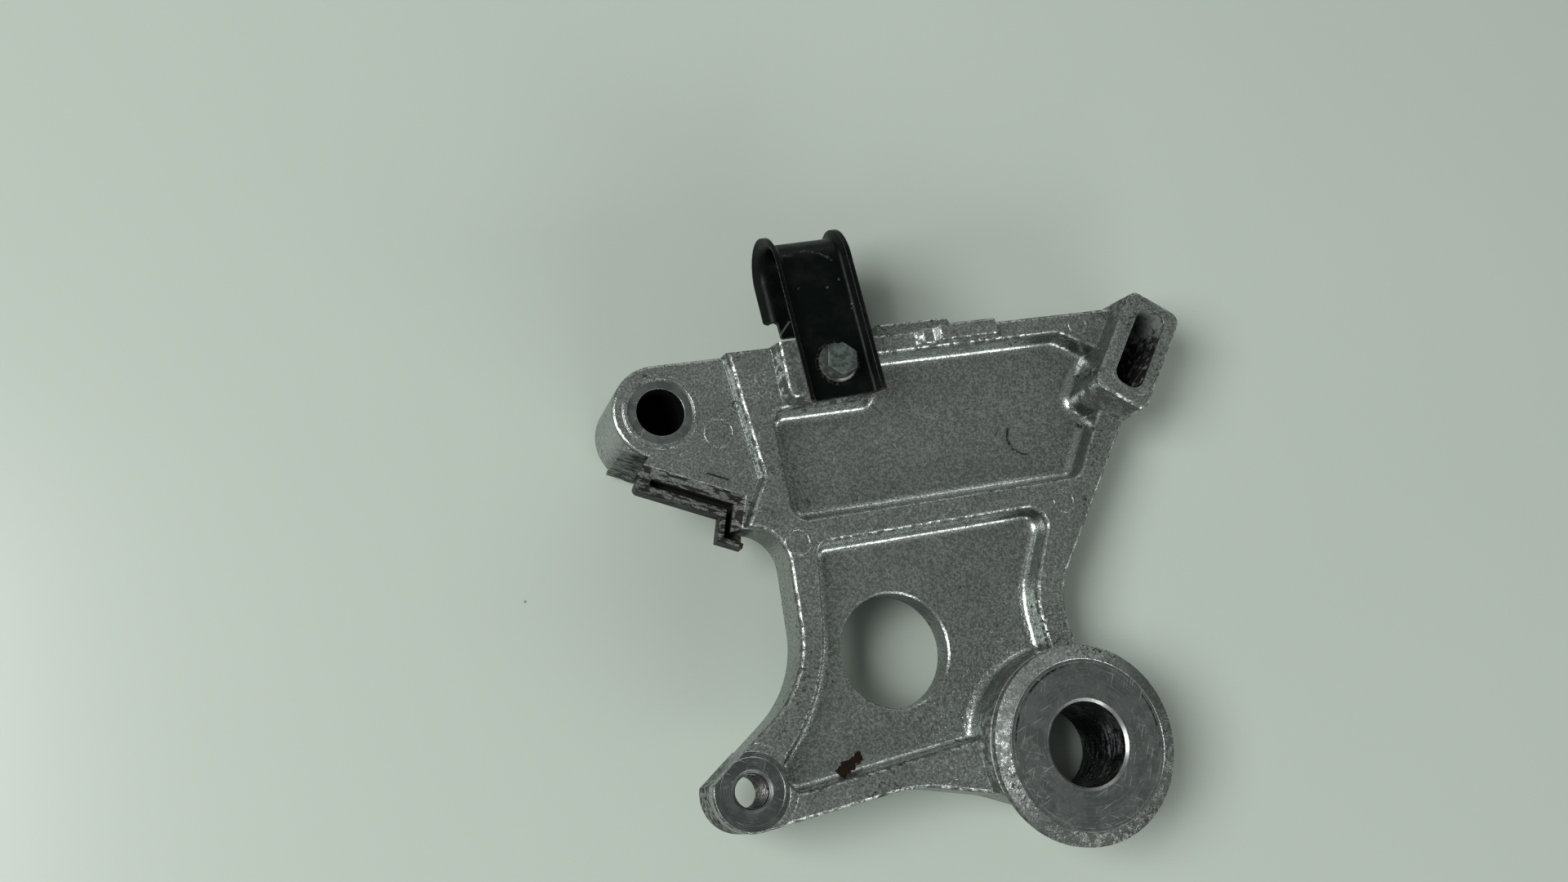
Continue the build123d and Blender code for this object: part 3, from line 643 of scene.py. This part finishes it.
def casting_finish():
    """Silver paint over a grainy casting, with machined faces, grime, stains and scratches, painted shade in
    the corners, on the slopes and in the axle bore, painted light and shade on the ear's thread, and painted
    glints in the stop boss's slot.
    """
    s = Shader("silver_casting")
    area = machined_areas(s)
    skin = cast_grain(s, area)
    grime_and_shade = casting_grime_and_shade(s, area)
    turn = s.angle(AXLE)
    scuffed = s.patches(0.9, 0.40, 0.52)
    marks = casting_marks(s, area, turn, scuffed)
    stain = jagged_stain(s)
    scratches = s.either(*[s.scratches(*row) for row in SCRATCHES])
    lathe = s.noise(2.4, 2.0, 0.6, s.join(area.axle, s.times(turn, 0.004)))

    # Insides of the slot and the bores
    stop_along, stop_across = s.turned(STOP, STOP_ANGLE)
    stop_pocket = s.both(
        s.band(stop_along, -STOP_SLOT_LENGTH / 2, STOP_SLOT_LENGTH / 2, 0.1),
        s.band(stop_across, -STOP_SLOT_WIDTH / 2, STOP_SLOT_WIDTH / 2, 0.1),
        s.below(s.z, STOP_TOP - 0.7, STOP_TOP - 0.1),
        s.ramp(s.z, STOP_FLOOR - 1.0, STOP_FLOOR - 0.4),
    )
    # Painted glints: lighter speckles towards the upper end of the stop boss's slot
    pocket_glints = s.plus(s.noise(0.5, 4.0, 0.7), s.ramp(stop_along, 4.0, 12.0, 0.0, 0.2))
    bore_streaks = s.noise(1.0, 3.0, 0.6, s.join(s.times(turn, 0.03), s.z))
    bore_streaks = s.both(s.ramp(bore_streaks, 0.42, 0.58), s.ramp(s.noise(0.07, 2.0), 0.40, 0.55))
    # Painted light and shade on the ear's bore: dark grooves and lighter crests along the helix
    thread_rise = s.plus(s.z, s.times(s.angle(EAR), THREAD_PITCH / 360))
    thread_bands = s.waves(thread_rise, WAVE_SCALE / THREAD_PITCH)

    # Colour
    bare = bare_colour(s, area, scratches, lathe, scuffed)
    colour = s.mix(area.machined, skin_colour(s, skin, turn), bare)
    # Grime, and painted shade in the corners
    colour = s.mix(grime_and_shade, colour, GRIME_AND_SHADE)
    # Painted shade: the inside of the axle bore near black; its lighter streaks are machining marks and dirt
    colour = s.mix(area.axle_bore, colour, s.mix(bore_streaks, BORE_SHADE, BORE_STREAK))
    colour = s.mix(area.slide_bore, colour, GREASE)
    colour = s.mix(area.ear_bore, colour, s.mix(thread_bands, THREAD_GROOVE_SHADE, THREAD_CREST_LIGHT))
    colour = s.mix(stop_pocket, colour, s.mix(s.ramp(pocket_glints, 0.5, 0.72), POCKET_DARK, POCKET_GLINTS))
    colour = s.mix(s.times(marks, 0.9), colour, MARK)
    colour = s.mix(stain, colour, s.mix(s.noise(0.9, 3.0), STAIN_BROWN, STAIN_BLACK))

    # Gloss
    # The grime mask, painted corner shade included, gets a dull, non-metallic gloss
    dirt_and_shade = s.either(grime_and_shade, stain, area.slide_bore, stop_pocket)
    metallic = s.blend(dirt_and_shade, s.blend(area.machined, SKIN_METALLIC, BARE_METALLIC), 0.0)
    rough = s.blend(s.ramp(skin.grain, 0.40, 0.60), *SKIN_ROUGHNESS)
    rough = s.less(rough, s.ramp(s.facing_z, 0.80, 0.98, SLOPE_GLOSS, 0.0))
    rough = s.blend(area.machined, rough, s.ramp(s.noise(0.12, 2.0), 0.42, 0.58, *BARE_ROUGHNESS))
    rough = s.blend(s.times(scratches, area.machined), rough, SCRATCH_ROUGHNESS)
    rough = s.blend(dirt_and_shade, rough, GRIME_ROUGHNESS)
    rough = s.blend(area.slide_bore, rough, GREASE_ROUGHNESS)

    # Relief of the skin, weaker on the slopes
    height = s.plus(s.times(skin.grain, GRAIN_DEPTH), s.times(skin.fine, FINE_DEPTH))
    height = s.plus(height, s.times(skin.coarse, s.blend(skin.rough_part, *COARSE_DEPTH)))
    cast = s.inverse(s.either(area.machined, area.bored))
    cast = s.times(cast, s.ramp(s.facing_z, 0.80, 0.98, SLOPE_DEPTH, 1.0))
    normal = s.bump([(s.times(height, cast), 1.0), (lathe, LATHE_DEPTH)], CASTING_EDGE)
    return s.finish(colour, metallic, rough, normal, CASTING_SPECULAR)


def clamp_rust(s, edges):
    """A little rust at the two lower corners of the hose clamp."""
    along, up = s.turned(CLAMP, CLAMP_TWIST)
    corners = [s.below(s.distance(along, up, corner), 0.5, 2.2) for corner in CLAMP_CORNERS]
    sparse = s.inverse(s.ramp(s.noise(0.5, 2.0), 0.4, 0.5))
    return s.both(s.either(*corners), s.patches(0.9, 0.44, 0.60, 4.0), s.either(edges, sparse))


def clamp_finish():
    """Black paint with lip edges lighter from wear and a painted sheen, a painted highlight along the tip's
    bend, scuffs, small dents and rust in the lower corners.
    """
    s = Shader("black_strip")
    edges = s.sharp_edges(CLAMP_EDGE_MASK)
    glossy = s.patches(0.45, 0.44, 0.6, 4.0)
    dust = s.patches(0.16, 0.4, 0.75, 4.0, 0.65)
    peel = s.noise(1.4, 3.0, 0.6)
    rust = clamp_rust(s, edges)
    seat_ring = s.band(s.radius(CLAMP), FLANGE_RADIUS, FLANGE_RADIUS + 0.9, 0.3)
    seat_ring = s.both(seat_ring, s.patches(1.2, 0.5, 0.6))

    # Rub marks near the bend and a few nicks on the strip
    nicks = s.either(*[s.below(s.distance(s.x, s.y, place), 0.15, 0.5) for place in CLAMP_NICKS])
    worn = s.either(s.times(s.strokes(CLAMP_RUBS), 0.7), nicks)
    worn = s.both(worn, s.ramp(peel, 0.40, 0.55), s.ramp(s.z, CLAMP_STRIP_LOW, CLAMP_STRIP_TOP))
    # Painted highlight along the bend of the tip
    crease_highlight = s.both(s.stroke(*CLAMP_CREASE_HIGHLIGHT), s.below(s.z, 9.0, 10.0))

    colour = s.mix(dust, PAINT_DARK, PAINT_DUSTY)
    # Lip edges lighter: partly paint wear, partly a painted sheen
    colour = s.mix(s.times(edges, s.ramp(peel, 0.38, 0.62, 0.15, 0.8)), colour, PAINT_EDGE_WEAR_AND_SHEEN)
    colour = s.mix(worn, colour, PAINT_RUBBED)
    colour = s.mix(s.times(seat_ring, 0.5), colour, PAINT_SEAT)
    colour = s.mix(crease_highlight, colour, PAINT_CREASE_HIGHLIGHT)
    colour = s.mix(rust, colour, s.mix(peel, RUST_DARK, RUST_LIGHT))
    rough = s.blend(s.times(glossy, 0.5), s.blend(dust, *PAINT_ROUGHNESS), PAINT_GLOSSY)
    rough = s.blend(rust, rough, RUST_ROUGHNESS)
    dents = s.noise(0.12, 2.0)
    flaking = s.times(rust, s.noise(3.0, 3.0, 0.7))
    normal = s.bump([(peel, 0.02), (dents, 0.3), (nicks, -0.06), (flaking, 0.09)], CLAMP_EDGE)
    return s.finish(colour, 0.0, rough, normal, CLAMP_SPECULAR)


def bolt_finish():
    """Dull grey plating on the hexagon, dark dirt on the flange, and a painted highlight on one side of the
    flange.
    """
    s = Shader("plated_bolt")
    reach = s.radius(CLAMP)
    flange = s.below(s.z, FLANGE_TOP - 0.1, FLANGE_TOP + 0.3)
    cap = s.ramp(s.z, BOLT_TOP - 0.25, BOLT_TOP - 0.05)
    blotch = s.noise(0.55, 4.0, 0.68)
    fine = s.noise(2.6, 3.0, 0.6)
    plating = s.mix(s.ramp(blotch, 0.40, 0.60), PLATING_DARK, PLATING_LIGHT)
    plating = s.mix(s.times(s.ramp(fine, 0.6, 0.72), 0.5), plating, PLATING_SPARK)
    plating = s.mix(s.times(s.sharp_edges(BOLT_WEAR), 0.45), plating, PLATING_EDGE)
    dirt = s.either(
        s.times(flange, s.ramp(blotch, 0.42, 0.60, 0.98, 0.7)),
        s.times(s.inverse(cap), s.ramp(blotch, 0.4, 0.6, 0.2, 0.6)),
        s.times(s.patches(1.1, 0.62, 0.7, 4.0), 0.6),
    )
    flange_edge = s.both(flange, s.ramp(reach, FLANGE_RADIUS - 0.3, FLANGE_RADIUS), s.ramp(fine, 0.5, 0.62))
    # Painted highlight on one side of the flange
    flange_highlight = s.both(
        flange,
        s.band(reach, FLANGE_RADIUS - 0.7, FLANGE_RADIUS - 0.2, 0.15),
        s.band(s.angle(CLAMP), *FLANGE_HIGHLIGHT_ARC),
    )
    colour = s.mix(dirt, plating, FLANGE_DIRT)
    colour = s.mix(flange_edge, colour, FLANGE_EDGE)
    colour = s.mix(s.times(flange_highlight, 0.75), colour, FLANGE_HIGHLIGHT)
    metallic = s.blend(dirt, BOLT_METALLIC, 0.0)
    rough = s.blend(dirt, *BOLT_ROUGHNESS)
    dish = s.times(s.ramp(reach, 1.5, 3.1), -0.6)
    normal = s.bump([(blotch, 0.04), (fine, 0.016), (dish, -0.14)], BOLT_EDGE)
    return s.finish(colour, metallic, rough, normal, BOLT_SPECULAR)


def thread_finish():
    """Bright worn crests of the thread, darker in the grooves."""
    s = Shader("thread_metal")
    wear = s.noise(1.3, 3.0, 0.65)
    colour = s.mix(s.ramp(wear, 0.35, 0.65), RIDGE_DARK, RIDGE_WORN)
    rough = s.blend(wear, *RIDGE_ROUGHNESS)
    return s.finish(colour, RIDGE_METALLIC, rough, s.bump([(wear, 0.012)], RIDGE_EDGE))


def table_finish():
    """A pale grey-green table top with a soft gloss."""
    s = Shader("table_top")
    cloud = s.noise(0.006, 3.0, 0.5)
    speck = s.both(s.below(s.cells(0.035), 0.018, 0.028), s.ramp(s.noise(0.02, 2.0), 0.5, 0.56))
    colour = s.mix(cloud, TABLE_DARK, TABLE_LIGHT)
    colour = s.mix(s.times(speck, 0.8), colour, TABLE_SPECK)
    normal = s.bump([(s.noise(0.5, 2.0), 0.001)], TABLE_EDGE)
    return s.finish(colour, 0.0, TABLE_ROUGHNESS, normal)


def set_finish(node, material):
    """Gives a CAD node its material in every slot."""
    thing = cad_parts[node]
    if not thing.material_slots:
        thing.data.materials.append(material)
    for place in thing.material_slots:
        place.material = material


def mesh_piece(name, vertices, faces, material):
    """A new mesh piece that rides with the object, given in millimetres."""
    mesh = bpy.data.meshes.new(name)
    mesh.from_pydata([tuple(c * MM for c in v) for v in vertices], [], faces)
    mesh.materials.append(material)
    for polygon in mesh.polygons:
        polygon.use_smooth = True
    thing = bpy.data.objects.new(name, mesh)
    bpy.context.scene.collection.objects.link(thing)
    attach(thing, "root")
    return thing


def add_ear_thread(material):
    """A helical ridge inside the ear's bore, closed at both ends."""
    low = EAR_BACK + THREAD_START
    turns = int((EAR_TOP - THREAD_END - low - THREAD_PITCH) / THREAD_PITCH)
    root, crest = EAR_THREAD + THREAD_ROOT, EAR_THREAD - THREAD_DEPTH
    profile = [(root, -FLANK_HALF), (crest, -CREST_HALF), (crest, CREST_HALF), (root, FLANK_HALF)]
    vertices, faces = [], []
    total = turns * THREAD_STEPS
    for i in range(total + 1):
        angle = 2 * math.pi * i / THREAD_STEPS
        x, y = math.cos(angle), math.sin(angle)
        height = low + THREAD_LIFT + THREAD_PITCH * i / THREAD_STEPS
        for reach, rise in profile:
            vertices.append((EAR[0] + reach * x, EAR[1] + reach * y, height + rise * THREAD_PITCH))
        if i:
            a, b = 4 * (i - 1), 4 * i
            faces += [(a + k, b + k, b + k + 1, a + k + 1) for k in range(3)]
            faces.append((a + 3, b + 3, b, a))
    faces.append((0, 1, 2, 3))
    faces.append((4 * total + 3, 4 * total + 2, 4 * total + 1, 4 * total))
    mesh_piece("ear_thread", vertices, faces, material)


def lowest(corners, normal):
    """The corner that lies farthest against a direction."""
    return min(corners, key=lambda c: c.dot(normal))


def table_plane():
    """Point and normal of the plane that the casting rests on: slide boss, axle boss and stop boss."""
    corners = [v.co.copy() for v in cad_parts["bracket_casting"].data.vertices]
    slide = [c for c in corners if c.x < SLIDE_FOOT[0] and c.y > SLIDE_FOOT[1]]
    axle = [c for c in corners if c.xy.length < AXLE_FOOT]
    stop = [c for c in corners if c.x > STOP_FOOT[0] and c.y > STOP_FOOT[1]]
    normal = Vector((0, 0, 1))
    for _ in range(6):
        a, b, c = lowest(slide, normal), lowest(axle, normal), lowest(stop, normal)
        normal = (b - a).cross(c - a).normalized()
        normal = normal if normal.z > 0 else -normal
    return b, normal


def add_table(material):
    """A wide flat table top under the object."""
    point, normal = table_plane()
    mesh = bpy.data.meshes.new("table_top")
    shape = bmesh.new()
    bmesh.ops.create_grid(shape, x_segments=TABLE_CELLS, y_segments=TABLE_CELLS, size=TABLE_HALF)
    turn = Vector((0, 0, 1)).rotation_difference(normal).to_matrix().to_4x4()
    centre = point - normal * TABLE_GAP + turn @ Vector(TABLE_SHIFT)
    shape.transform(Matrix.Translation(centre) @ turn)
    shape.to_mesh(mesh)
    shape.free()
    mesh.materials.append(material)
    table = bpy.data.objects.new("table_top", mesh)
    bpy.context.scene.collection.objects.link(table)


def add_light(name, direction, distance, size, radiance):
    """A rectangular softbox that faces the object from a direction, sized in metres."""
    middle = Vector(LIT_POINT)
    lamp = bpy.data.lights.new(name, "AREA")
    lamp.shape = "RECTANGLE"
    lamp.size, lamp.size_y = size
    lamp.energy = radiance * math.pi * size[0] * size[1]
    lamp.color = SOFTBOX_COLOUR
    holder = bpy.data.objects.new(name, lamp)
    holder.location = middle + Vector(direction).normalized() * distance
    holder.rotation_euler = (middle - holder.location).to_track_quat("-Z", "Y").to_euler()
    bpy.context.scene.collection.objects.link(holder)


def add_lights():
    """A key light on the left, low ones round the other sides that graze the fillets, in a dim even room."""
    for name, values in SOFTBOXES.items():
        add_light(name, *values)
    world = bpy.data.worlds.new("room")
    world.use_nodes = True
    world.node_tree.nodes["Background"].inputs["Color"].default_value = ROOM_COLOUR
    world.node_tree.nodes["Background"].inputs["Strength"].default_value = ROOM_LEVEL
    bpy.context.scene.world = world


def add_camera():
    """The camera that was solved from the round bores in the photograph."""
    data = bpy.data.cameras.new("photo_camera")
    data.lens = CAMERA_LENS
    data.sensor_width = CAMERA_SENSOR
    data.clip_start = CAMERA_NEAR
    camera = bpy.data.objects.new("photo_camera", data)
    camera.location = [c * MM for c in CAMERA_PLACE]
    camera.rotation_euler = [math.radians(a) for a in CAMERA_TURN]
    bpy.context.scene.collection.objects.link(camera)
    bpy.context.scene.camera = camera


set_finish("bracket_casting", casting_finish())
set_finish("hose_clamp", clamp_finish())
set_finish("clamp_bolt", bolt_finish())
add_ear_thread(thread_finish())
add_table(table_finish())
add_lights()
add_camera()
bpy.context.scene.view_settings.view_transform = "Standard"
